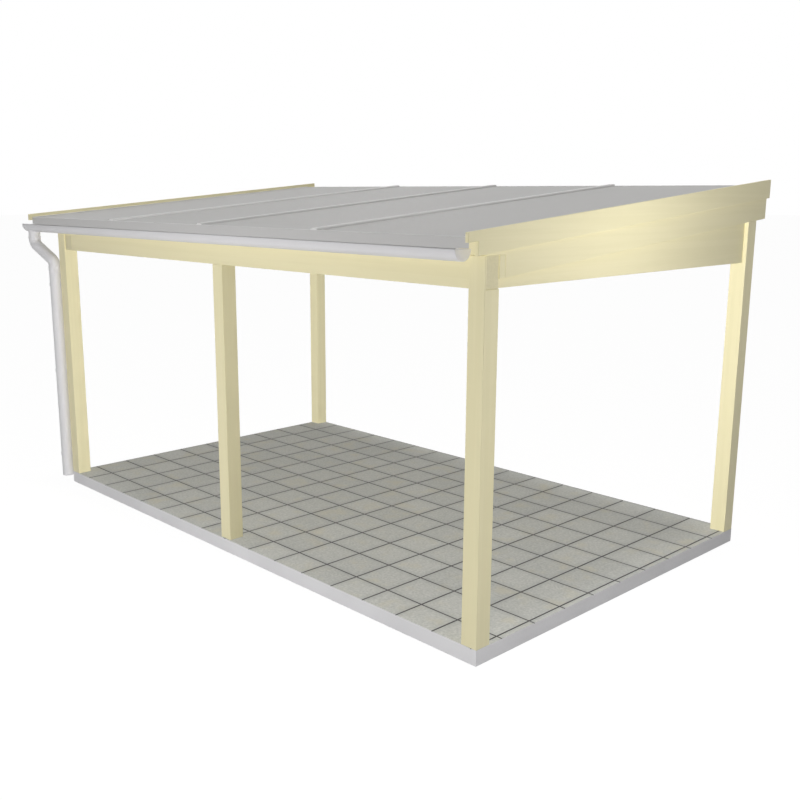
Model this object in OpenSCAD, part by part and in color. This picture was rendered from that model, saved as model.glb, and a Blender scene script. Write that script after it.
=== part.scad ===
// Garden room frame: a timber lean-to on a concrete base, with a low-pitched roof of
// plastic sheets between glazing bars, barge boards, a half-round gutter and a downpipe.
// Lengths are in millimetres. The origin is the centre of the base's underside. +X runs
// along the front to its right-hand end, +Y runs back to the rear posts and +Z is up.

/* [Base] */
// Length of the base along the front
base_l = 4920; // [3600:10:6000]
// Depth of the base from front to rear
base_d = 2975; // [2000:5:3600]
// Height of the base's edge above the ground
base_h = 100; // [60:5:250]

/* [Posts] */
// Side of the square posts
post_w = 115; // [95:1:150]
// Clear height from the base to the underside of the beams
clear_h = 2035; // [1900:5:2400]
// Distance of the middle post from the middle of the front, positive to the right
mid_post_shift = -14; // [-600:1:600]

/* [Beams] */
// Width of the front and rear beams, from front to back
beam_w = 105; // [90:1:140]
// Height of the front and rear beams
beam_h = 177; // [120:1:220]
// Thickness of the cheek that a corner post keeps in front of the beam
cheek_t = 10; // [5:1:45]
// Distance of the front beam's ends inside the posts' outer faces
beam_end_in = 6; // [0:1:15]
// Thickness of the header board behind the front beam
header_t = 45; // [30:1:60]
// Depth of the housing in each rear post that holds the rear beam's end
housing = 20; // [10:1:40]
// Thickness of the wedge-shaped side beams
side_beam_t = 60; // [45:1:70]
// Distance of a side beam's outer face inside the posts' outer faces
side_beam_inset = 27; // [10:1:35]
// Height of a side beam's front end
side_beam_front_h = 50.5; // [30:0.5:90]

/* [Rafters] */
// Pitch of the roof in degrees, rising to the rear
roof_pitch = 4.91; // [2:0.01:12]
// Thickness of the rafters
rafter_w = 45; // [38:1:60]
// Depth of the rafters, square to their length
rafter_h = 220; // [195:1:260]
// Clearance between the header board's back and the rafters' heel cuts
heel_gap = 2; // [1:1:15]
// Length of the rafter tails and barge boards past the rear posts
tail_l = 130; // [60:5:300]
// Height of the tongue that each rear post sends up beside its outer rafter
tongue_h = 190; // [100:5:210]
// Overhang of the roof past the left posts, up to the barge board
verge_over = 194.5; // [120:0.5:400]
// Depth of the verge rafter under the left overhang
verge_rafter_h = 70; // [60:1:90]
// Number of noggins that carry the verge rafter
noggin_count = 5; // [3:1:8]

/* [Roof covering] */
// Thickness of the roof sheets
sheet_t = 16; // [10:1:32]
// Distance from the corner posts' faces to the front edge of the roof
eaves_over = 135; // [100:1:200]
// Distance from the rear posts' backs to the rear edge of the roof sheets
sheet_rear_over = 6; // [0:1:50]
// Side clearance between a roof sheet and the bar beside it
sheet_clear = 3; // [1:0.5:8]
// Width of the glazing bars
bar_w = 60; // [50:1:80]
// Thickness of a bar's foot, which lifts the sheets off the rafters
bar_foot_t = 10; // [4:1:20]
// Thickness of a bar's web between two sheets
bar_web_t = 8; // [4:1:12]
// Thickness of a bar's cap
bar_cap_t = 12; // [6:1:18]
// Width of the lip under each edge of a cap, which holds the sheets down
lip_w = 8; // [4:1:12]
// Thickness of the edge bars' caps beside the barge boards
edge_cap_t = 3; // [2:0.5:10]
// Width of the edge bars' caps
edge_cap_w = 34; // [25:1:45]
// Thickness of the metal trims that close the sheets' ends
trim_t = 2; // [1:0.5:4]
// Length of the trims' flanges over and under the sheets
trim_leg = 25; // [15:1:40]
// Gap between the front trim's apron and the gutter's bead
trim_gutter_gap = 3; // [2:0.5:10]

/* [Boards] */
// Thickness of the fascia board
fascia_t = 20; // [15:1:30]
// Distance of the fascia's face in front of the corner posts' faces
fascia_over = 10; // [4:1:20]
// Gap between the front beam's top and the fascia's lower edge
fascia_gap = 3; // [0:1:10]
// Thickness of the barge boards
barge_t = 22; // [18:1:30]
// Depth of the barge boards, square to their length
barge_h = 129; // [115:1:180]
// How far the barge boards stand up above the roof sheets
barge_upstand = 30; // [20:1:50]
// How far the barge boards run past the roof's front edge
barge_front_over = 28; // [5:1:60]
// Depth of the boards' shallow front ends
barge_nose_h = 53; // [45:1:60]
// Length of the right board's shallow front end
barge_nose_l = 80; // [40:1:110]

/* [Gutter] */
// Outer diameter of the half-round gutter
gutter_d = 125; // [110:1:130]
// Thickness of the gutter's wall
gutter_t = 3; // [2:0.5:5]
// Drop from the roof sheets' front edge to the gutter's rim
gutter_drop = 51; // [30:1:60]
// How far the gutter runs past the left barge board
gutter_over = 200; // [130:1:300]
// Distance of the gutter's right end inside the roof's right edge
gutter_inset = 92; // [0:1:200]
// Diameter of the bead along the gutter's front edge
bead_d = 16; // [10:1:20]
// Number of gutter hangers
hanger_count = 8; // [4:1:12]
// Width of a gutter hanger
hanger_w = 25; // [15:1:40]
// Thickness of a gutter hanger's strap
hanger_t = 3; // [2:0.5:5]
// Height of a hanger's back plate on the fascia
hanger_plate_h = 26; // [15:1:32]

/* [Downpipe] */
// Outer diameter of the downpipe
pipe_d = 100; // [80:1:110]
// Thickness of the downpipe's wall
pipe_t = 2.5; // [2:0.5:4]
// Distance from the gutter's left end to the outlet's middle
outlet_inset = 103; // [70:1:110]
// Length of the outlet below the gutter
outlet_l = 64; // [30:1:120]
// Angle of the neck from the vertical
neck_angle = 60; // [35:1:70]
// Radius of the neck's two bends, to the pipe's middle
neck_bend_r = 70; // [60:1:110]
// Clear distance from the downpipe to the left post's side
pipe_gap = 12; // [8:0.5:60]
// Distance of the downpipe's middle in front of the left post's face
pipe_forward = 20; // [10:1:35]
// Height of the downpipe's lower end above the ground
pipe_foot_h = 61; // [20:1:300]
// Number of pipe clips
clip_count = 3; // [2:1:5]
// Height of a pipe clip's band
clip_h = 30; // [15:1:50]
// Thickness of a pipe clip's band and plate
clip_t = 3; // [2:0.5:5]
// Width of a pipe clip's arm
clip_arm_w = 14; // [8:1:18]
// Width of a pipe clip's plate on the post
clip_plate_w = 40; // [25:1:60]

/* [Hidden] */
$fn = 96;

timber = [0.88, 0.84, 0.69];
sheet_grey = [0.67, 0.67, 0.66];
bar_grey = [0.71, 0.71, 0.71];
rain_white = [0.80, 0.80, 0.83];
concrete = [0.72, 0.72, 0.72];

// The base's sides, and the faces that the frame is set out from
x_left = -base_l / 2;
x_right = base_l / 2;
y_front = -base_d / 2;
y_rear = base_d / 2;

// Beams
beam_y0 = y_front + cheek_t;
beam_y1 = beam_y0 + beam_w;
beam_z0 = base_h + clear_h;
beam_z1 = beam_z0 + beam_h;
rear_post_y0 = y_rear - post_w;

// A thickness square to the roof, measured plumb
function plumb(t) = t / cos(roof_pitch);
// Heights of the roof's layers above a point at distance y from front to rear
function rafter_under(y) = beam_z0 + side_beam_front_h + (y - beam_y1) * tan(roof_pitch);
function rafter_top(y) = rafter_under(y) + plumb(rafter_h);
function sheet_under(y) = rafter_top(y) + plumb(bar_foot_t);
function sheet_top(y) = sheet_under(y) + plumb(sheet_t);
function cap_under(y) = sheet_top(y) + plumb(trim_t);
function barge_top(y) = sheet_top(y) + barge_upstand;

// Rafters: nose behind the fascia, heel behind the header board, level seat at the rear
fascia_y0 = y_front - fascia_over;
nose_y = fascia_y0 + fascia_t;
header_y1 = beam_y1 + header_t;
heel_y = header_y1 + heel_gap;
seat_y0 = y_rear - max(post_w, beam_w);
seat_z = rafter_under(y_rear);
tail_y = y_rear + tail_l;

// Roof covering
roof_y0 = y_front - eaves_over;
roof_y1 = y_rear + sheet_rear_over;
roof_x0 = x_left - verge_over;
roof_x1 = x_right;
bays = 4;
function bar_x(i) = x_left + base_l * i / bays;

// Gutter, with its rim at gutter_z and its middle line at gutter_y
gutter_r = gutter_d / 2;
gutter_y = fascia_y0 - gutter_r;
gutter_z = sheet_under(roof_y0) - gutter_drop;
gutter_x0 = roof_x0 - barge_t - gutter_over;
gutter_x1 = roof_x1 - gutter_inset;
bead_y = gutter_y - gutter_r + bead_d / 2;
bead_top_z = gutter_z + bead_d / 2;
barge_gutter_clear = 5;

// Downpipe: its outlet, its neck and the straight pipe beside the left post
pipe_r = pipe_d / 2;
outlet_x = gutter_x0 + outlet_inset;
outlet_z = gutter_z - gutter_r - outlet_l;
pipe_x = x_left - pipe_gap - pipe_r;
pipe_y = y_front - pipe_forward;
neck_reach = norm([pipe_x - outlet_x, pipe_y - gutter_y]);
neck_heading = atan2(pipe_y - gutter_y, pipe_x - outlet_x);
neck_run = (neck_reach - 2 * neck_bend_r * (1 - cos(neck_angle))) / sin(neck_angle);
neck_drop = 2 * neck_bend_r * sin(neck_angle) + neck_run * cos(neck_angle);
pipe_top_z = outlet_z - neck_drop;
clip_margin = 150;

// A bar along X from x0 to x1 whose section is a list of [y, z] points
module along_x(x0, x1, section) {
    translate([x0, 0, 0])
        rotate([90, 0, 90])
            linear_extrude(height = x1 - x0)
                polygon(section);
}

// A flat bar that follows the roof from y0 to y1, between two of its height functions
module roof_bar(x0, x1, y0, y1, under, top) {
    along_x(x0, x1, [[y0, under(y0)], [y1, under(y1)], [y1, top(y1)], [y0, top(y0)]]);
}

module box(low, high) {
    translate(low)
        cube(high - low);
}

module base_slab() {
    color(concrete)
        box([x_left, y_front, 0], [x_right, y_rear, base_h]);
}

// A front corner post: rebated for the beam, with a cheek left in front of it
module corner_post(x0) {
    color(timber) {
        box([x0, y_front, base_h], [x0 + post_w, y_front + post_w, beam_z0]);
        box([x0, y_front, beam_z0], [x0 + post_w, beam_y0, beam_z1]);
    }
}

module front_left_post() {
    corner_post(x_left);
}

// The middle post stands under the beam, flush with its face
module front_middle_post() {
    x0 = mid_post_shift - post_w / 2;
    color(timber)
        box([x0, beam_y0, base_h], [x0 + post_w, beam_y0 + post_w, beam_z0]);
}

module front_right_post() {
    corner_post(x_right - post_w);
}

// A rear post: a shoulder under the outer rafter, a tongue beside it, a housed beam
module rear_post(x0, tongue_x0) {
    color(timber)
        difference() {
            union() {
                box([x0, rear_post_y0, base_h], [x0 + post_w, y_rear, seat_z]);
                box([tongue_x0, rear_post_y0, seat_z],
                    [tongue_x0 + post_w - rafter_w, y_rear, seat_z + tongue_h]);
            }
            rear_beam_box();
        }
}

module rear_left_post() {
    rear_post(x_left, x_left + rafter_w);
}

module rear_right_post() {
    rear_post(x_right - post_w, x_right - post_w);
}

module front_beam() {
    color(timber)
        box([x_left + beam_end_in, beam_y0, beam_z0], [x_right - beam_end_in, beam_y1, beam_z1]);
}

// A board on the front beam's back, from the rafters' underside up to the beam's top
module header_board() {
    color(timber)
        along_x(x_left, x_right, [
            [beam_y1, rafter_under(beam_y1)],
            [header_y1, rafter_under(header_y1)],
            [header_y1, beam_z1],
            [beam_y1, beam_z1]
        ]);
}

module rear_beam_box() {
    box([x_left + post_w - housing, y_rear - beam_w, seat_z - beam_h],
        [x_right - post_w + housing, y_rear, seat_z]);
}

module rear_beam() {
    color(timber)
        rear_beam_box();
}

// A side beam: level below, and along the rafter's underside above
module side_beam(x0) {
    color(timber)
        along_x(x0, x0 + side_beam_t, [
            [beam_y1, beam_z0],
            [rear_post_y0, beam_z0],
            [rear_post_y0, rafter_under(rear_post_y0)],
            [beam_y1, rafter_under(beam_y1)]
        ]);
}

module left_side_beam() {
    side_beam(x_left + side_beam_inset);
}

module right_side_beam() {
    side_beam(x_right - side_beam_inset - side_beam_t);
}

// A rafter: its nose sits on the front beam, and a level seat on the rear beam or post
module rafter(x0) {
    color(timber)
        along_x(x0, x0 + rafter_w, [
            [nose_y, beam_z1],
            [heel_y, beam_z1],
            [heel_y, rafter_under(heel_y)],
            [seat_y0, rafter_under(seat_y0)],
            [seat_y0, seat_z],
            [y_rear, seat_z],
            [tail_y, rafter_under(tail_y)],
            [tail_y, rafter_top(tail_y)],
            [nose_y, rafter_top(nose_y)]
        ]);
}

module left_rafter() {
    rafter(x_left);
}

module inner_rafter(i) {
    rafter(bar_x(i) - rafter_w / 2);
}

module right_rafter() {
    rafter(x_right - rafter_w);
}

function verge_under(y) = rafter_top(y) - plumb(verge_rafter_h);

module verge_rafter() {
    color(timber)
        roof_bar(roof_x0, roof_x0 + rafter_w, nose_y, tail_y,
            function(y) verge_under(y), function(y) rafter_top(y));
}

// Noggins from the left rafter out to the verge rafter
module verge_noggins() {
    step = (tail_y - rafter_w - nose_y) / (noggin_count - 1);
    color(timber)
        for (i = [0 : noggin_count - 1]) {
            y0 = nose_y + i * step;
            roof_bar(roof_x0 + rafter_w, x_left, y0, y0 + rafter_w,
                function(y) verge_under(y), function(y) rafter_top(y));
        }
}

module fascia_board() {
    color(timber)
        along_x(roof_x0, roof_x1, [
            [fascia_y0, beam_z1 + fascia_gap],
            [nose_y, beam_z1 + fascia_gap],
            [nose_y, rafter_top(nose_y)],
            [fascia_y0, rafter_top(fascia_y0)]
        ]);
}

// A barge board whose front end is shallow as far back as nose_end
module barge_board(x0, nose_end) {
    y0 = roof_y0 - barge_front_over;
    color(timber)
        along_x(x0, x0 + barge_t, [
            [y0, barge_top(y0)],
            [y0, barge_top(y0) - barge_nose_h],
            [nose_end, barge_top(nose_end) - barge_nose_h],
            [nose_end, barge_top(nose_end) - plumb(barge_h)],
            [tail_y, barge_top(tail_y) - plumb(barge_h)],
            [tail_y, barge_top(tail_y)]
        ]);
}

module left_barge_board() {
    barge_board(roof_x0 - barge_t, fascia_y0 + barge_gutter_clear);
}

module right_barge_board() {
    barge_board(roof_x1, roof_y0 - barge_front_over + barge_nose_l);
}

// The parts of a bar between its cap and the rafter run between the flanges of the two
// end trims. The web and the lips reach the middles of the foot and cap that hold them.
function foot_middle(y) = rafter_top(y) + plumb(bar_foot_t / 2);
function cap_middle(y, cap_t) = cap_under(y) + plumb(cap_t / 2);

module bar_foot(x0, x1) {
    roof_bar(x0, x1, roof_y0 + trim_leg, roof_y1 - trim_leg,
        function(y) rafter_top(y), function(y) sheet_under(y));
}

module bar_web(x0, x1, cap_t) {
    roof_bar(x0, x1, roof_y0 + trim_leg, roof_y1 - trim_leg,
        function(y) foot_middle(y), function(y) cap_middle(y, cap_t));
}

module bar_lip(x0) {
    roof_bar(x0, x0 + lip_w, roof_y0 + trim_leg, roof_y1 - trim_leg,
        function(y) sheet_top(y), function(y) cap_middle(y, bar_cap_t));
}

module bar_cap(x0, x1, cap_t) {
    roof_bar(x0, x1, roof_y0, roof_y1,
        function(y) cap_under(y), function(y) cap_under(y) + plumb(cap_t));
}

module left_rafter_strip() {
    color(bar_grey)
        roof_bar(x_left, x_left + rafter_w, nose_y, roof_y1 - trim_leg,
            function(y) rafter_top(y), function(y) sheet_under(y));
}

// An edge bar: a foot on the rafter, a web against the barge board and a thin cap
module edge_bar(foot_x0, web_x0, cap_x0) {
    color(bar_grey) {
        bar_foot(foot_x0, foot_x0 + rafter_w);
        bar_web(web_x0, web_x0 + bar_web_t / 2, edge_cap_t);
        bar_cap(cap_x0, cap_x0 + edge_cap_w, edge_cap_t);
    }
}

module left_edge_bar() {
    edge_bar(roof_x0, roof_x0, roof_x0);
}

module right_edge_bar() {
    edge_bar(roof_x1 - rafter_w, roof_x1 - bar_web_t / 2, roof_x1 - edge_cap_w);
}

// A glazing bar: foot, web between the sheets, and a cap with a lip along each edge
module glazing_bar(i) {
    middle = bar_x(i);
    color(bar_grey) {
        bar_foot(middle - bar_w / 2, middle + bar_w / 2);
        bar_web(middle - bar_web_t / 2, middle + bar_web_t / 2, bar_cap_t);
        for (x0 = [middle - bar_w / 2, middle + bar_w / 2 - lip_w])
            bar_lip(x0);
        bar_cap(middle - bar_w / 2, middle + bar_w / 2, bar_cap_t);
    }
}

// The roof sheet of bay i, counted from the left
module roof_sheet(i) {
    edge_clear = bar_web_t / 2 + sheet_clear;
    x0 = (i == 1) ? roof_x0 : bar_x(i - 1);
    x1 = (i == bays) ? roof_x1 : bar_x(i);
    color(sheet_grey)
        roof_bar(x0 + edge_clear, x1 - edge_clear, roof_y0 + trim_t, roof_y1 - trim_t,
            function(y) sheet_under(y), function(y) sheet_top(y));
}

// A channel that closes the sheets' ends, open towards the middle of the roof
module end_trim(y0, y1, sheet_y0, sheet_y1) {
    color(bar_grey)
        difference() {
            roof_bar(roof_x0, roof_x1, y0, y1,
                function(y) sheet_under(y) - plumb(trim_t), function(y) cap_under(y));
            roof_bar(roof_x0 - trim_t, roof_x1 + trim_t, sheet_y0, sheet_y1,
                function(y) sheet_under(y), function(y) sheet_top(y));
        }
}

// The front trim also has an apron that hangs to just above the gutter's bead
module roof_front_trim() {
    end_trim(roof_y0, roof_y0 + trim_leg, roof_y0 + trim_t, roof_y0 + 2 * trim_leg);
    color(bar_grey)
        box([roof_x0, roof_y0, bead_top_z + trim_gutter_gap],
            [roof_x1, roof_y0 + trim_t, sheet_under(roof_y0)]);
}

module roof_rear_trim() {
    end_trim(roof_y1 - trim_leg, roof_y1, roof_y1 - 2 * trim_leg, roof_y1 - trim_t);
}

// A cylinder along X
module rod(x0, x1, y, z, r) {
    translate([x0, y, z])
        rotate([0, 90, 0])
            cylinder(r = r, h = x1 - x0);
}

module bead(x0, x1) {
    rod(x0, x1, bead_y, gutter_z, bead_d / 2);
}

// The lower half of a cylinder along the gutter's middle line
module half_rod(x0, x1, r) {
    intersection() {
        rod(x0, x1, gutter_y, gutter_z, r);
        box([x0, gutter_y - r, gutter_z - r], [x1, gutter_y + r, gutter_z]);
    }
}

module gutter() {
    x0 = gutter_x0 + gutter_t;
    x1 = gutter_x1 - gutter_t;
    color(rain_white)
        difference() {
            union() {
                difference() {
                    half_rod(x0, x1, gutter_r);
                    rod(x0 - 1, x1 + 1, gutter_y, gutter_z, gutter_r - gutter_t);
                }
                bead(x0, x1);
            }
            translate([outlet_x, gutter_y, gutter_z - gutter_d])
                cylinder(r = pipe_r - pipe_t, h = gutter_d);
        }
}

module gutter_cap(x0) {
    color(rain_white) {
        half_rod(x0, x0 + gutter_t, gutter_r);
        bead(x0, x0 + gutter_t);
    }
}

module gutter_left_cap() {
    gutter_cap(gutter_x0);
}

module gutter_right_cap() {
    gutter_cap(gutter_x1 - gutter_t);
}

// Hangers: a plate on the fascia, and a strap over the gutter to its front bead
module gutter_hangers() {
    first = roof_x0 + 4 * hanger_w;
    step = (gutter_x1 - 4 * hanger_w - first) / (hanger_count - 1);
    color(rain_white)
        for (i = [0 : hanger_count - 1]) {
            x0 = first + i * step - hanger_w / 2;
            x1 = x0 + hanger_w;
            difference() {
                union() {
                    box([x0, bead_y, gutter_z], [x1, fascia_y0, gutter_z + hanger_t]);
                    box([x0, fascia_y0 - hanger_t, gutter_z], [x1, fascia_y0, gutter_z + hanger_plate_h]);
                }
                bead(x0 - 1, x1 + 1);
            }
        }
}

module gutter_outlet() {
    top_z = gutter_z - gutter_t;
    color(rain_white)
        difference() {
            translate([outlet_x, gutter_y, outlet_z])
                cylinder(r = pipe_r, h = top_z - outlet_z);
            translate([outlet_x, gutter_y, outlet_z - 1])
                cylinder(r = pipe_r - pipe_t, h = top_z - outlet_z + 2);
            rod(outlet_x - pipe_d, outlet_x + pipe_d, gutter_y, gutter_z, gutter_r);
        }
}

module pipe_ring() {
    difference() {
        circle(r = pipe_r);
        circle(r = pipe_r - pipe_t);
    }
}

// A bend of the pipe by neck_angle, whose lower end lies at the origin and points down -Y
module pipe_bend() {
    translate([neck_bend_r, 0, 0])
        mirror([1, 0, 0])
            rotate_extrude(angle = neck_angle)
                translate([neck_bend_r, 0])
                    pipe_ring();
}

// Places its children in the neck's own frame, where its slanted pipe runs down -Y
module in_neck() {
    translate([outlet_x, gutter_y, outlet_z])
        rotate([90, 0, neck_heading])
            translate([neck_bend_r * (1 - cos(neck_angle)), -neck_bend_r * sin(neck_angle), 0])
                rotate([0, 0, neck_angle])
                    children();
}

module neck_upper_bend() {
    color(rain_white)
        in_neck()
            pipe_bend();
}

module neck_pipe() {
    color(rain_white)
        in_neck()
            rotate([90, 0, 0])
                linear_extrude(height = neck_run)
                    pipe_ring();
}

module neck_lower_bend() {
    color(rain_white)
        in_neck()
            translate([0, -neck_run, 0])
                rotate([0, 0, 180])
                    pipe_bend();
}

module downpipe() {
    color(rain_white)
        translate([pipe_x, pipe_y, pipe_foot_h])
            linear_extrude(height = pipe_top_z - pipe_foot_h)
                pipe_ring();
}

// Clips: a band round the pipe, an arm and a plate on the left post's side
module pipe_clips() {
    lowest = max(pipe_foot_h, base_h) + clip_margin;
    step = (pipe_top_z - clip_margin - clip_h - lowest) / (clip_count - 1);
    arm_y0 = y_front + clip_t;
    color(rain_white)
        for (i = [0 : clip_count - 1]) {
            z0 = lowest + i * step;
            z1 = z0 + clip_h;
            difference() {
                union() {
                    translate([pipe_x, pipe_y, z0])
                        cylinder(r = pipe_r + clip_t, h = clip_h);
                    box([pipe_x, arm_y0, z0], [x_left, arm_y0 + clip_arm_w, z1]);
                    box([x_left - clip_t, arm_y0, z0], [x_left, arm_y0 + clip_plate_w, z1]);
                }
                translate([pipe_x, pipe_y, z0 - 1])
                    cylinder(r = pipe_r, h = clip_h + 2);
            }
        }
}

base_slab();
front_left_post();
front_middle_post();
front_right_post();
rear_left_post();
rear_right_post();
front_beam();
header_board();
rear_beam();
left_side_beam();
right_side_beam();
left_rafter();
inner_rafter(1);  // rafter_1
inner_rafter(2);  // rafter_2
inner_rafter(3);  // rafter_3
right_rafter();
verge_rafter();
verge_noggins();
fascia_board();
left_barge_board();
right_barge_board();
left_rafter_strip();
left_edge_bar();
right_edge_bar();
glazing_bar(1);  // glazing_bar_1
glazing_bar(2);  // glazing_bar_2
glazing_bar(3);  // glazing_bar_3
roof_sheet(1);  // roof_sheet_1
roof_sheet(2);  // roof_sheet_2
roof_sheet(3);  // roof_sheet_3
roof_sheet(4);  // roof_sheet_4
roof_front_trim();
roof_rear_trim();
gutter();
gutter_left_cap();
gutter_right_cap();
gutter_hangers();
gutter_outlet();
neck_upper_bend();
neck_pipe();
neck_lower_bend();
downpipe();
pipe_clips();
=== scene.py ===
import math

import bmesh
import bpy
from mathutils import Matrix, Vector


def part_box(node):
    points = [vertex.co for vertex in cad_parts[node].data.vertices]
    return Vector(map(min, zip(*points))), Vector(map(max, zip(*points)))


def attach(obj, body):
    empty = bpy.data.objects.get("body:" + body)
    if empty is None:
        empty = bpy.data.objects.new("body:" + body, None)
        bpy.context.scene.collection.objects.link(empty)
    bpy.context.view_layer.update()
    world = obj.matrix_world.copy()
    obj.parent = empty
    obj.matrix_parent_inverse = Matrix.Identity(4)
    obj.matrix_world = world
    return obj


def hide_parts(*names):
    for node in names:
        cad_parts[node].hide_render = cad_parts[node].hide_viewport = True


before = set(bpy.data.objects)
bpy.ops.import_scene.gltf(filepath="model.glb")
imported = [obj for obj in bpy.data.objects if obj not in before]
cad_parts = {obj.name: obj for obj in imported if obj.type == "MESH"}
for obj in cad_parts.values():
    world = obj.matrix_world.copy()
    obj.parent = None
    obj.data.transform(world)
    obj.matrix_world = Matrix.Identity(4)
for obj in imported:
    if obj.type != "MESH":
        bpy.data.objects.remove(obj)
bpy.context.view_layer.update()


# ---- Concrete base ----
# One cast slab that carries the whole frame. It is pale concrete, struck off smooth. Its top
# is held a joint's depth low, so that the paving can lie on it in a dark grey bed.


def take(piece):
    """Selects one piece alone and makes it the active one."""
    bpy.ops.object.select_all(action="DESELECT")
    piece.select_set(True)
    bpy.context.view_layer.objects.active = piece


def block(name, low, high):
    """A cube from one corner to the other, with its place and size in its mesh."""
    low, high = Vector(low), Vector(high)
    bpy.ops.object.select_all(action="DESELECT")
    bpy.ops.mesh.primitive_cube_add(size=1, location=(low + high) / 2)
    piece = bpy.context.object
    piece.name = name
    piece.scale = high - low
    bpy.ops.object.transform_apply(location=True, rotation=True, scale=True)
    return piece


def edit(piece, kind, wanted):
    """Opens a piece in edit mode with just the wanted vertices, edges or faces selected."""
    take(piece)
    bpy.ops.object.mode_set(mode="EDIT")
    bpy.ops.mesh.select_mode(type=kind)
    bpy.ops.mesh.select_all(action="DESELECT")
    mesh = bmesh.from_edit_mesh(piece.data)
    parts = {"VERT": mesh.verts, "EDGE": mesh.edges, "FACE": mesh.faces}[kind]
    for part in parts:
        part.select_set(bool(wanted(part)))
    mesh.select_flush_mode()
    bmesh.update_edit_mesh(piece.data)


def close_edit():
    bpy.ops.object.mode_set(mode="OBJECT")


def modify(piece, kind, **settings):
    """Adds one modifier with these settings and applies it at once."""
    take(piece)
    modifier = piece.modifiers.new(kind.title(), kind)
    for setting, value in settings.items():
        setattr(modifier, setting, value)
    bpy.ops.object.modifier_apply(modifier=modifier.name)


def smooth(piece):
    """Shades a piece smooth but for its sharp edges."""
    take(piece)
    bpy.ops.object.shade_smooth_by_angle(angle=math.radians(30))


def fit(piece, finish, slot, *nodes):
    """Gives a finished piece its material, and sets it in place of some nodes. Its slot is not
    used.
    """
    piece.data.materials.clear()
    piece.data.materials.append(finish)
    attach(piece, "root")
    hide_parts(*nodes)


def second_finish(piece, finish, wanted):
    """Gives just the wanted faces of a fitted piece another material."""
    piece.data.materials.append(finish)
    edit(piece, "FACE", wanted)
    piece.active_material_index = len(piece.data.materials) - 1
    bpy.ops.object.material_slot_assign()
    close_edit()


class Shade:
    """One socket of a material's node tree, which takes part in plain Python sums."""

    def __init__(self, tree, socket=None):
        self.tree = tree
        self.socket = socket

    def node(self, kind, settings=None, inputs=None, output=0):
        """Adds any node from its settings and its sockets, and gives one of its outputs."""
        made = self.tree.nodes.new(kind)
        for setting, value in (settings or {}).items():
            setattr(made, setting, value)
        for socket, value in (inputs or {}).items():
            if isinstance(value, Shade):
                self.tree.links.new(value.socket, made.inputs[socket])
            else:
                made.inputs[socket].default_value = value
        return Shade(self.tree, made.outputs[output])

    def sum(self, operation, first, second):
        return self.node("ShaderNodeMath", {"operation": operation}, {0: first, 1: second})

    def __add__(self, other):
        return self.sum("ADD", self, other)

    def __radd__(self, other):
        return self.sum("ADD", other, self)

    def __rsub__(self, other):
        return self.sum("SUBTRACT", other, self)

    def __mul__(self, other):
        return self.sum("MULTIPLY", self, other)

    def __rmul__(self, other):
        return self.sum("MULTIPLY", other, self)

    def step(self, low, high):
        """Rises smoothly from 0 at low to 1 at high."""
        return self.node("ShaderNodeMapRange", {"interpolation_type": "SMOOTHSTEP"},
                         {"Value": self, "From Min": low, "From Max": high})

    def mix(self, first, second):
        """Goes from the first colour to the second as this value goes from 0 to 1."""
        return self.node("ShaderNodeMix", {"data_type": "RGBA"},
                         {0: self, 6: first, 7: second}, 2)

    def noise(self, scale, detail, stretch=(1, 1, 1), turn=(0, 0, 0)):
        """Noise of this many waves a metre, stretched and turned in the object's own place."""
        place = self.node("ShaderNodeTexCoord", output=3)
        laid = self.node("ShaderNodeMapping", None,
                         {"Vector": place, "Rotation": turn, "Scale": stretch})
        return self.node("ShaderNodeTexNoise", None,
                         {"Vector": laid, "Scale": scale, "Detail": detail})


def rgb(red, green, blue):
    """A linear colour from 8-bit sRGB values."""
    def linear(value):
        share = value / 255
        return share / 12.92 if share <= 0.04045 else ((share + 0.055) / 1.055) ** 2.4
    return (linear(red), linear(green), linear(blue), 1.0)


def new_finish(name):
    """A new material, and a Shade that adds nodes to it."""
    finish = bpy.data.materials.new(name)
    finish.use_nodes = True
    return finish, Shade(finish.node_tree)


def dress(finish, colour, roughness, relief=None, depth=0.0, **fixed):
    """Joins a colour, a roughness and a relief to a finish's shader."""
    tree = finish.node_tree
    shader = tree.nodes["Principled BSDF"]
    links = {"Base Color": colour, "Roughness": roughness}
    if relief is not None:
        links["Normal"] = relief.node("ShaderNodeBump", None, {"Height": relief, "Distance": depth})
    for socket, value in links.items():
        if isinstance(value, Shade):
            tree.links.new(value.socket, shader.inputs[socket])
        else:
            shader.inputs[socket].default_value = value
    for socket, value in fixed.items():
        shader.inputs[socket.replace("_", " ")].default_value = value


joint_depth = 0.004
foot_bevel = 0.004
hair = 0.001  # how near a corner lies to a face that it belongs to
slab_low, slab_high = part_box("base_slab")

concrete, shade = new_finish("cast_concrete")
clouds = shade.noise(2.5, 4)
pores = shade.noise(90, 3)
cloudy = clouds.step(0.3, 0.7) * 0.6 + pores * 0.4
dress(concrete, cloudy.mix(rgb(210, 209, 211), rgb(220, 219, 221)), 0.85 + 0.1 * clouds, pores,
      0.0006)

bed, shade = new_finish("joint_sand")
grains = shade.noise(400, 2)
dress(bed, grains.mix(rgb(70, 70, 68), rgb(88, 88, 85)), 0.95, grains, 0.0005)

base = block("concrete_base", slab_low, (slab_high.x, slab_high.y, slab_high.z - joint_depth))
edit(base, "EDGE", lambda edge: all(vert.co.z < slab_low.z + hair for vert in edge.verts))
bpy.ops.mesh.bevel(offset=foot_bevel, segments=2)
close_edit()
fit(base, concrete, "concrete", "base_slab")
second_finish(base, bed, lambda face: face.normal.z > 0.5)


# ---- Paving ----
# Square grey tiles in a plain grid over the whole base, with their upper arrises eased. They are
# set out from the right-hand front corner and cut off flush with the base's sides.

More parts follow.
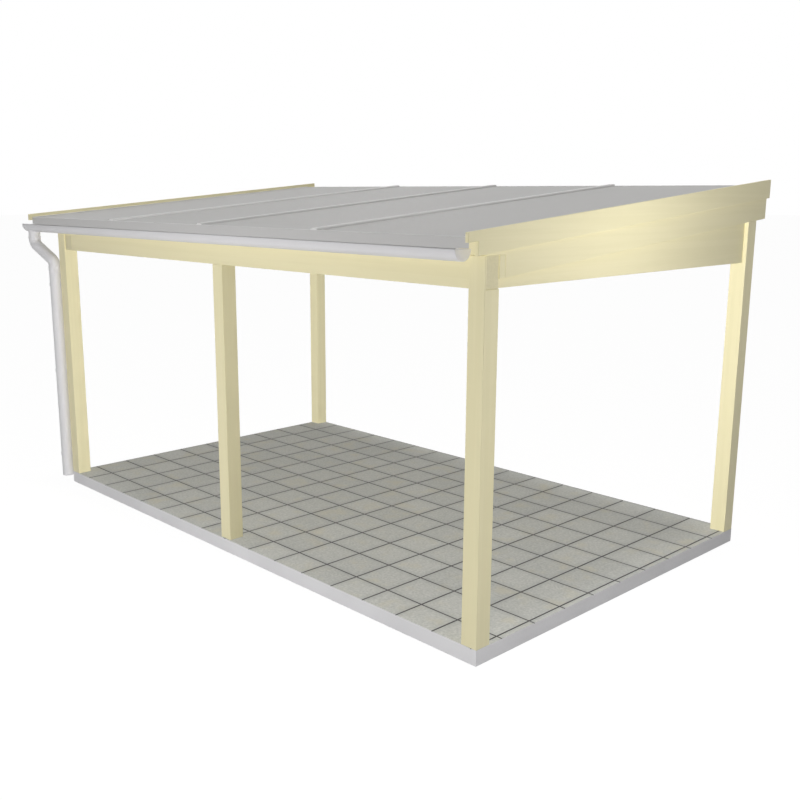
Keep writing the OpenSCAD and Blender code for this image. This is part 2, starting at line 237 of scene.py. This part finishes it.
tile = 0.300
joint = 0.005
tile_pitch = tile + joint
tile_bevel = 0.0015
right_strip = 0.040
front_row = 0.227
whole_columns = 16
columns = whole_columns + 2
rows = 11
grime_and_shade_core, grime_and_shade_reach = 0.0020, 0.0050
rim_core, rim_reach = 0.010, 0.060
tile_x0 = slab_high.x - right_strip - whole_columns * tile_pitch + joint / 2
tile_y0 = slab_low.y + front_row - tile_pitch + joint / 2

paving_grey, shade = new_finish("paving")
place = shade.node("ShaderNodeTexCoord", output=3)
shifted = shade.node("ShaderNodeVectorMath", {"operation": "SUBTRACT"},
                     {0: place, 1: (tile_x0 - joint / 2, tile_y0 - joint / 2, 0)})
cell = shade.node("ShaderNodeVectorMath", {"operation": "SNAP"},
                  {0: shifted, 1: (tile_pitch, tile_pitch, 10)})
tone = shade.node("ShaderNodeTexWhiteNoise", None, {"Vector": cell})
within = shade.node("ShaderNodeVectorMath", {"operation": "SUBTRACT"}, {0: shifted, 1: cell})
edge_near = []
for axis in (0, 1):
    along = shade.node("ShaderNodeSeparateXYZ", None, {"Vector": within}, axis)
    edge_near.append(shade.node("ShaderNodeMath", {"operation": "PINGPONG"},
                                {0: along, 1: tile_pitch / 2}))
to_edge = edge_near[0].sum("MINIMUM", edge_near[0], edge_near[1])
# The tiles darken next to the joints: grime, and painted shade along the joints.
grime_and_joint_shade = to_edge.step(joint / 2 + grime_and_shade_reach, joint / 2 + grime_and_shade_core)
worn_rim = to_edge.step(rim_reach, rim_core)
streaks = shade.noise(1, 5, (26, 12, 1))
mottle = shade.noise(60, 4)
patches = shade.noise(6, 3)
grit = shade.noise(260, 2)
greys = (tone * 0.2 + streaks * 0.4 + mottle.step(0.3, 0.7) * 0.4).mix(
    rgb(150, 151, 148), rgb(198, 198, 193))
warm = (patches.step(0.5, 0.75) * 0.4).mix(greys, rgb(188, 181, 156))
rimmed = (worn_rim * 0.3).mix(warm, rgb(148, 149, 147))
paving_colour = grime_and_joint_shade.mix(rimmed, rgb(92, 92, 91))
dress(paving_grey, paving_colour, 0.75 + 0.15 * streaks, mottle * 0.5 + grit * 0.5, 0.0006)

paving = block("paving", (tile_x0, tile_y0, slab_high.z - joint_depth),
               (tile_x0 + tile, tile_y0 + tile, slab_high.z))
edit(paving, "EDGE", lambda edge: all(vert.co.z > slab_high.z - hair for vert in edge.verts))
bpy.ops.mesh.bevel(offset=tile_bevel, segments=2)
close_edit()
for count, axis in ((columns, 0), (rows, 1)):
    step = [0.0, 0.0, 0.0]
    step[axis] = tile_pitch
    modify(paving, "ARRAY", count=count, use_relative_offset=False,
           use_constant_offset=True, constant_offset_displace=step)
for corner, outward in ((slab_low, (-1, 0, 0)), (slab_low, (0, -1, 0)),
                        (slab_high, (1, 0, 0)), (slab_high, (0, 1, 0))):
    edit(paving, "FACE", lambda face: True)
    bpy.ops.mesh.bisect(plane_co=corner, plane_no=outward, use_fill=True, clear_outer=True)
    close_edit()


def on_a_side(face):
    """Whether an upright face of the paving lies on one of the base's four sides."""
    middle = face.calc_center_median()
    return abs(face.normal.z) < 0.3 and (
        min(abs(middle.x - side) for side in (slab_low.x, slab_high.x)) < 1e-4
        or min(abs(middle.y - side) for side in (slab_low.y, slab_high.y)) < 1e-4)


fit(paving, paving_grey, "concrete")
second_finish(paving, concrete, on_a_side)


# ---- Posts ----
# Square posts of pale planed spruce under a satin stain, with eased arrises. The two corner
# posts have a thin cheek outside the beam's end; the rear ones rise beside the outer rafters.


def timber(name, stretch, turn=(0, 0, 0), pale=(222, 214, 177), dark=(216, 208, 169)):
    """Planed spruce under a pale satin stain, with its grain drawn out along the timber."""
    finish, shade = new_finish(name)
    broad = shade.noise(1, 3, stretch, turn)
    fine = shade.noise(9, 3, stretch, turn)
    rings = shade.node("ShaderNodeMath", {"operation": "PINGPONG"}, {0: broad * 9, 1: 1.0})
    grain = broad.step(0.3, 0.7) * 0.45 + fine * 0.35 + rings * 0.2
    dress(finish, grain.mix(rgb(*dark), rgb(*pale)), 0.42 + 0.12 * fine, fine * 0.6 + rings * 0.4,
          0.0004)
    return finish


def merged(node, suffix="_timber"):
    """A copy of a CAD solid with its loose triangles merged into whole faces."""
    piece = bpy.data.objects.new(node + suffix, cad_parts[node].data.copy())
    bpy.context.scene.collection.objects.link(piece)
    edit(piece, "FACE", lambda face: True)
    bpy.ops.mesh.remove_doubles(threshold=0.0001)
    bpy.ops.mesh.customdata_custom_splitnormals_clear()
    bpy.ops.mesh.dissolve_limited(angle_limit=math.radians(1))
    bpy.ops.mesh.faces_shade_flat()
    close_edit()
    return piece


def eased(node, width, suffix="_timber"):
    """A merged copy of a CAD solid with its edges eased by this width."""
    piece = merged(node, suffix)
    modify(piece, "BEVEL", width=width, segments=2, limit_method="ANGLE")
    return piece


arris = 0.0025
upright = timber("spruce_upright", (28, 28, 0.6))
for node in ("front_left_post", "front_middle_post", "front_right_post",
             "rear_left_post", "rear_right_post"):
    fit(eased(node, arris), upright, "timber", node)


# ---- Beams ----
# The front and rear beams are single spruce timbers on edge, with a board along the front one's
# back that closes the rafters' heels. The side beams are wedges under the sloping rafters.

level_x = timber("spruce_along_front", (0.6, 28, 28))
level_y = timber("spruce_along_side", (28, 0.6, 28))
# The front beam's end faces are darker: end grain, and painted shade in the recess by the cheeks.
end_grain_and_shade = timber("spruce_end_grain_and_shade", (60, 60, 60), pale=(210, 202, 166), dark=(200, 192, 156))
for node in ("front_beam", "header_board", "rear_beam"):
    beam = eased(node, arris)
    fit(beam, level_x, "timber", node)
    if node == "front_beam":
        second_finish(beam, end_grain_and_shade, lambda face: abs(face.normal.x) > 0.9)
for node in ("left_side_beam", "right_side_beam"):
    fit(eased(node, arris), level_y, "timber", node)


# ---- Painted shade patch ----
# A thin square of spruce, painted darker as shade, that lies flat on the front beam's face, close
# beside the left-hand post. Its edges are eased, and no fixing shows in it.

patch_thick = 0.002
post_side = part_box("front_left_post")[1].x
beam_low, beam_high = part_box("front_beam")
patch_gap = 0.012
patch_wide = 0.105
patch_above_foot = 0.012
patch_below_top = 0.050
patch_edge = 0.0006
painted_shade_spruce = timber("painted_shade_spruce", (16, 16, 0.5), pale=(208, 200, 165), dark=(198, 190, 154))
shade_patch = block("painted_shade_patch",
               (post_side + patch_gap, beam_low.y - patch_thick,
                beam_low.z + patch_above_foot),
               (post_side + patch_gap + patch_wide, beam_low.y,
                beam_high.z - patch_below_top))
edit(shade_patch, "FACE", lambda face: face.normal.y < -0.5)
bpy.ops.mesh.inset(thickness=0.0008, depth=0)
close_edit()
modify(shade_patch, "BEVEL", width=patch_edge, segments=2, limit_method="ANGLE")
fit(shade_patch, painted_shade_spruce, "timber")


# ---- Rafters ----
# Deep spruce rafters at the roof's pitch, notched over the front beam and seated on the rear
# one, with a lighter verge rafter on noggins under the left overhang.

pitch_angle = math.radians(4.91)
sloping = timber("spruce_along_slope", (28, 0.6, 28), (-pitch_angle, 0, 0))
for node in ("left_rafter", "rafter_1", "rafter_2", "rafter_3", "right_rafter", "verge_rafter"):
    fit(eased(node, arris), sloping, "timber", node)
fit(eased("verge_noggins", arris), level_x, "timber", "verge_noggins")

# The outer rafters lie on the side beams over a thin brown strip, a painted shade along the seam.
shade_tape_thick = 0.0020
shade_tape, shade = new_finish("brown_tape")
dress(shade_tape, shade.noise(120, 3).mix(rgb(120, 113, 92), rgb(140, 133, 108)), 0.8)
for side in ("left", "right"):
    strip = merged(side + "_side_beam", "_tape")
    edit(strip, "FACE", lambda face: face.normal.z > 0.9)
    lid = [face for face in bmesh.from_edit_mesh(strip.data).faces if face.select]
    high_spot = max((vert.co.copy() for face in lid for vert in face.verts), key=lambda at: at.y)
    upward = max(lid, key=lambda face: face.calc_area()).normal.copy()
    close_edit()
    edit(strip, "FACE", lambda face: True)
    bpy.ops.mesh.bisect(plane_co=high_spot - upward * shade_tape_thick / 2, plane_no=upward,
                        use_fill=True, clear_inner=True)
    close_edit()
    edit(strip, "FACE", lambda face: True)
    bpy.ops.transform.translate(value=(0, 0, shade_tape_thick / 2))
    close_edit()
    fit(strip, shade_tape, "strip")


# ---- Fascia and barge boards ----
# Planed spruce boards: the fascia closes the rafters' noses behind the gutter, and the barge
# boards stand up at both ends of the roof and cover the edges of the sheets.

fit(eased("fascia_board", arris), level_x, "timber", "fascia_board")
fit(eased("right_barge_board", arris), sloping, "timber", "right_barge_board")
# The left barge board's inner face is painted darker than the rest, as painted shade.
barge_inner_shade = timber("inner_face_painted_shade", (28, 0.6, 28), (-pitch_angle, 0, 0),
                   pale=(199, 192, 158), dark=(189, 182, 147))
left_barge = eased("left_barge_board", arris)
fit(left_barge, sloping, "timber", "left_barge_board")
second_finish(left_barge, barge_inner_shade, lambda face: face.normal.x > 0.9)


# ---- Roof sheets ----
# Smooth grey multiwall plastic sheets whose flutes run down the slope. Their walls show as a
# faint ribbing just under the skin. A black rubber strip packs the left rafter up to them.

flute = 0.016
sheet_finish, shade = new_finish("grey_sheet")
place = shade.node("ShaderNodeTexCoord", output=3)
across = shade.node("ShaderNodeSeparateXYZ", None, {"Vector": place}, 0)
walls = shade.node("ShaderNodeMath", {"operation": "PINGPONG"}, {0: across * (2 / flute), 1: 1.0})
haze = shade.noise(1.5, 3, (1, 0.4, 1))
ribbed = walls.step(0.75, 1.0) * 0.35 + haze * 0.65
dress(sheet_finish, ribbed.mix(rgb(164, 163, 161), rgb(170, 169, 167)), 0.42 + 0.1 * haze,
      walls.step(0.6, 1.0), 0.00015)
sheet_edge = 0.0008
for node in ("roof_sheet_1", "roof_sheet_2", "roof_sheet_3", "roof_sheet_4"):
    fit(eased(node, sheet_edge, "_multiwall"), sheet_finish, "roof_sheet", node)

rubber, shade = new_finish("black_rubber")
dress(rubber, shade.noise(300, 2).mix(rgb(34, 34, 34), rgb(48, 48, 48)), 0.8)
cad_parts["left_rafter_strip"].material_slots[0].material = rubber


# ---- Glazing bars and trims ----
# Drawn aluminium bars, clamped over the joints of the sheets, and folded aluminium trims that
# close the sheets' front and rear ends. They are coated pale grey, the bars paler as painted light,
# and their edges are eased.


def drawn_metal(name, dark, pale, roughness, **fixed):
    """A coated metal with faint lines along Y, the way it was drawn."""
    finish, shade = new_finish(name)
    lines = shade.noise(1, 3, (220, 1.2, 220))
    dress(finish, lines.mix(rgb(*dark), rgb(*pale)), roughness + 0.1 * lines, lines, 0.0001,
          **fixed)
    return finish


def on_crown(vert, bar_top, slope):
    """Whether a corner of a bar lies in its sloping upper face."""
    return vert.co.z - bar_top.z + (bar_top.y - vert.co.y) * slope > -hair / 2


bar_finish = drawn_metal("satin_aluminium", (179, 178, 177), (186, 185, 184), 0.4, Metallic=0.1)
# The bars' capping is paler than the trims, as painted light on sides that the lamps leave dim.
capping_painted_light = drawn_metal("pale_capping_painted_light", (205, 204, 203), (212, 211, 210), 0.45)
bar_edge = 0.0008
crown_r = 0.010
slope = math.tan(pitch_angle)
for node in ("glazing_bar_1", "glazing_bar_2", "glazing_bar_3", "left_edge_bar", "right_edge_bar"):
    bar = merged(node, "_drawn")
    bar_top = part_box(node)[1]
    edit(bar, "EDGE", lambda edge: all(on_crown(vert, bar_top, slope) for vert in edge.verts)
         and edge.calc_length() > 1 and len(edge.link_faces) == 2
         and edge.calc_face_angle() > math.radians(60))
    bpy.ops.mesh.bevel(offset=crown_r, segments=5)
    close_edit()
    modify(bar, "BEVEL", width=bar_edge, segments=1, limit_method="ANGLE",
           angle_limit=math.radians(50))
    smooth(bar)
    fit(bar, capping_painted_light, "bar_metal", node)
trim_edge = 0.0006
for node in ("roof_front_trim", "roof_rear_trim"):
    fit(eased(node, trim_edge, "_folded"), bar_finish, "bar_metal", node)


def rod(name, low_x, high_x, y, z, radius, vertices=24):
    """A round bar along X, with its ends eased by a share of its radius."""
    bpy.ops.object.select_all(action="DESELECT")
    bpy.ops.mesh.primitive_cylinder_add(vertices=vertices, radius=radius, depth=high_x - low_x,
                                        location=((low_x + high_x) / 2, y, z),
                                        rotation=(0, math.pi / 2, 0))
    piece = bpy.context.object
    piece.name = name
    bpy.ops.object.transform_apply(location=True, rotation=True, scale=True)
    modify(piece, "BEVEL", width=radius * rod_ease, segments=2, limit_method="ANGLE",
           angle_limit=math.radians(40))
    smooth(piece)
    return piece


# The front trim's upper fold is a rolled nose, in the paler capping as a painted highlight.
rod_ease = 0.12
nose_r = 0.004
nose_drop = 0.6 * nose_r
trim_low, trim_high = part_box("roof_front_trim")
sheet_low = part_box("roof_sheet_1")[0]
nose_z = max(vert.co.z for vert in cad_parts["roof_front_trim"].data.vertices
             if vert.co.y < trim_low.y + hair / 2)
fit(rod("trim_nose", trim_low.x, trim_high.x, trim_low.y + nose_r, nose_z - nose_drop,
        nose_r, 16), capping_painted_light, "bar_metal")


# ---- Gutter ----
# A half-round gutter roll-formed from off-white coated steel sheet, with a bead rolled along its
# front edge, a turned-over back edge, pressed end caps and strap hangers from the fascia.

coated, shade = new_finish("off_white_coating")
film = shade.noise(40, 2)
drift = shade.noise(0.8, 2)
dress(coated, (film * 0.4 + drift * 0.6).mix(rgb(200, 199, 201), rgb(207, 206, 208)),
      0.42 + 0.08 * film, film, 0.00005, Coat_Weight=0.1)
gutter_low, gutter_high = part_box("gutter")
cap_low, cap_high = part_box("gutter_left_cap")
bead_r = 0.008
rim_z = gutter_high.z - bead_r
gutter_r = (cap_high.y - cap_low.y) / 2
gutter_y = (cap_low.y + cap_high.y) / 2
wall = 0.0025
sides = 48
round_sides = 64
punch_long = 0.032
pressed_edge = 0.0008
strap_edge = 0.0006

bpy.ops.object.select_all(action="DESELECT")
bpy.ops.mesh.primitive_circle_add(vertices=2 * sides, radius=gutter_r - wall, fill_type="NOTHING",
                                  location=(gutter_low.x, gutter_y, rim_z),
                                  rotation=(math.pi / 2, 0, math.pi / 2))
gutter = bpy.context.object
gutter.name = "gutter_channel"
bpy.ops.object.transform_apply(location=True, rotation=True, scale=True)
edit(gutter, "VERT", lambda vert: vert.co.z > rim_z + 0.0001)
bpy.ops.mesh.delete(type="VERT")
close_edit()
edit(gutter, "EDGE", lambda edge: True)
bpy.ops.mesh.extrude_edges_move(
    TRANSFORM_OT_translate={"value": (gutter_high.x - gutter_low.x, 0, 0)})
close_edit()
edit(gutter, "FACE", lambda face: True)
bpy.ops.mesh.normals_make_consistent(inside=False)
close_edit()
outward = 1 if gutter.data.polygons[sides // 2].normal.z < 0 else -1
modify(gutter, "SOLIDIFY", thickness=wall, offset=outward)
outlet_low, outlet_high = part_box("gutter_outlet")
outlet_x = (outlet_low.x + outlet_high.x) / 2
outlet_r = (outlet_high.x - outlet_low.x) / 2 - wall
bpy.ops.object.select_all(action="DESELECT")
bpy.ops.mesh.primitive_cylinder_add(vertices=round_sides, radius=outlet_r,
                                    depth=punch_long,
                                    location=(outlet_x, gutter_y, rim_z - gutter_r))
punch = bpy.context.object
modify(gutter, "BOOLEAN", operation="DIFFERENCE", object=punch, solver="EXACT")
bpy.data.objects.remove(punch)
smooth(gutter)

bead_y = gutter_y - gutter_r + bead_r
bead = rod("gutter_bead", gutter_low.x, gutter_high.x, bead_y, rim_z, bead_r)
fold_r = 0.003
fold = rod("gutter_back_fold", gutter_low.x, gutter_high.x, gutter_y + gutter_r - fold_r,
           rim_z - fold_r, fold_r, 12)
fit(gutter, coated, "rainwater", "gutter")
for part in (bead, fold):
    fit(part, coated, "rainwater")

# A thin drip strip hangs inside the front trim's apron, down to the gutter's bead.
drip_thick = 0.001
drip = block("eaves_drip", (trim_low.x + nose_r, bead_y + bead_r, rim_z + bead_r / 2),
             (gutter_high.x - nose_r, bead_y + bead_r + drip_thick, sheet_low.z - drip_thick))
edit(drip, "FACE", lambda face: face.normal.z < -0.5)
bpy.ops.mesh.inset(thickness=drip_thick / 4, depth=0)
close_edit()
modify(drip, "BEVEL", width=drip_thick / 5, segments=1, limit_method="ANGLE")
fit(drip, bar_finish, "bar_metal")

for node in ("gutter_left_cap", "gutter_right_cap"):
    cap = eased(node, pressed_edge, "_pressed")
    smooth(cap)
    fit(cap, coated, "rainwater", node)
fit(eased("gutter_hangers", strap_edge, "_straps"), coated, "rainwater", "gutter_hangers")


# ---- Downpipe ----
# A round pipe of the same coated steel drops from the outlet, swings back on two bends and runs
# down beside the left-hand post. Its joints are swaged sockets, and three clips hold it.

for node in ("gutter_outlet", "neck_upper_bend", "neck_pipe", "neck_lower_bend", "downpipe",
             "pipe_clips"):
    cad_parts[node].material_slots[0].material = coated

pipe_low, pipe_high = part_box("downpipe")
pipe_x = (pipe_low.x + pipe_high.x) / 2
pipe_y = (pipe_low.y + pipe_high.y) / 2
pipe_r = (pipe_high.x - pipe_low.x) / 2
proud = 0.0025
sleeve_gap = 0.0001
end_r = 0.0015
socket_long = 0.045


def socket(name, x, y, low_z, high_z):
    """A short upright sleeve that fits round the pipe, with both of its ends rounded."""
    bpy.ops.object.select_all(action="DESELECT")
    bpy.ops.mesh.primitive_cylinder_add(vertices=round_sides, radius=pipe_r + proud,
                                        depth=high_z - low_z,
                                        end_fill_type="NOTHING",
                                        location=(x, y, (low_z + high_z) / 2))
    piece = bpy.context.object
    piece.name = name
    bpy.ops.object.transform_apply(location=True, rotation=True, scale=True)
    modify(piece, "SOLIDIFY", thickness=proud - sleeve_gap, offset=-1)
    modify(piece, "BEVEL", width=end_r, segments=2, limit_method="ANGLE",
           angle_limit=math.radians(40))
    smooth(piece)
    return piece


fit(socket("downpipe_socket", pipe_x, pipe_y, pipe_high.z - socket_long, pipe_high.z),
    coated, "rainwater")
fit(socket("outlet_socket", outlet_x, gutter_y, outlet_low.z, outlet_low.z + socket_long / 2),
    coated, "rainwater")


# ---- Studio ----
# A white floor that keeps a faint shadow, an even white surround and the camera. Of the lights
# only the overhead sun casts shadows: the rear fill and the four lamps off the front and the
# right-hand end have none, and two of those lamps don't weaken with distance.

bpy.ops.object.select_all(action="DESELECT")
bpy.ops.mesh.primitive_plane_add(size=200, location=(0, 0, 0))
floor = bpy.context.object
floor.name = "floor"


def white_if_seen(tree, share):
    """How much of plain white a camera, mirror or glass ray sees here: this share, or none."""
    rays = tree.nodes.new("ShaderNodeLightPath")
    seen = [Shade(tree, rays.outputs[kind]) for kind in (
        "Is Camera Ray", "Is Glossy Ray", "Is Transmission Ray")]
    return (seen[0] + seen[1] + seen[2]) * share


floor_glow = 0.93
floor_matt = 0.90
floor_bounce = 0.40
white_floor, shade = new_finish("white_floor")
tree = white_floor.node_tree
tree.nodes.clear()
bounce = Shade(tree, tree.nodes.new("ShaderNodeLightPath").outputs["Is Diffuse Ray"])
matt = shade.node("ShaderNodeBsdfDiffuse", None, {
    "Color": floor_matt - (floor_matt - floor_bounce) * bounce})
glow = shade.node("ShaderNodeEmission", None, {"Color": (1, 1, 1, 1), "Strength": 1.0})
mixed = shade.node("ShaderNodeMixShader", None,
                   {0: white_if_seen(tree, floor_glow), 1: matt, 2: glow})
surface = tree.nodes.new("ShaderNodeOutputMaterial")
tree.links.new(mixed.socket, surface.inputs["Surface"])
floor.data.materials.append(white_floor)

surround_light = 0.20
world = bpy.data.worlds.new("studio")
bpy.context.scene.world = world
world.use_nodes = True
tree = world.node_tree
tree.nodes.clear()
light = white_if_seen(tree, 1 - surround_light) + surround_light
surround = light.node("ShaderNodeBackground", None, {"Color": (1, 1, 1, 1), "Strength": light})
surface = tree.nodes.new("ShaderNodeOutputWorld")
tree.links.new(surround.socket, surface.inputs["Surface"])


def sun(name, energy, tilt, turn, shadow):
    """A broad even light, tilted from straight down and then turned, that leaves no gleam."""
    bpy.ops.object.light_add(type="SUN")
    lamp = bpy.context.object
    lamp.name = name
    lamp.data.energy = energy
    lamp.data.angle = math.radians(12)
    lamp.data.use_shadow = shadow
    lamp.visible_glossy = False
    lamp.rotation_euler = (math.radians(tilt), 0, math.radians(turn))


def soft_lamp(name, power, place, falloff):
    """A soft round lamp without shadows. A constant falloff doesn't weaken with distance."""
    bpy.ops.object.light_add(type="POINT", location=place)
    lamp = bpy.context.object
    lamp.name = name
    lamp.data.energy = power
    lamp.data.shadow_soft_size = 0.5
    lamp.data.use_shadow = False
    lamp.visible_glossy = False
    lamp.data.use_nodes = True
    tree = lamp.data.node_tree
    thinned = tree.nodes.new("ShaderNodeLightFalloff")
    thinned.inputs["Strength"].default_value = 1.0
    tree.links.new(thinned.outputs[falloff], tree.nodes["Emission"].inputs["Strength"])


sun("overhead_sun", energy=1.35, tilt=0, turn=0, shadow=True)
sun("rear_fill", energy=2.0, tilt=78, turn=227, shadow=False)
soft_lamp("front_lamp", power=27, place=(0.47, -3.57, 1.7), falloff="Constant")
soft_lamp("right_lamp", power=5, place=(3.70, -0.23, 2.0), falloff="Constant")
soft_lamp("board_lamp", power=50, place=(3.70, -0.23, 2.4), falloff="Quadratic")
soft_lamp("corner_lamp", power=40, place=(4.20, -2.20, 1.0), falloff="Quadratic")

camera_place = (5.7637, -5.3745, 2.6454)
camera_tilt, camera_turn = math.radians(77.90), math.radians(47.04)
bpy.ops.object.camera_add(location=camera_place, rotation=(camera_tilt, 0, camera_turn))
camera = bpy.context.object
camera.name = "camera"
camera.data.sensor_width = 36
camera.data.lens = 43.71
camera.data.shift_x = 0.0361
camera.data.shift_y = -0.0020
bpy.context.scene.camera = camera
bpy.context.scene.view_settings.view_transform = "Standard"
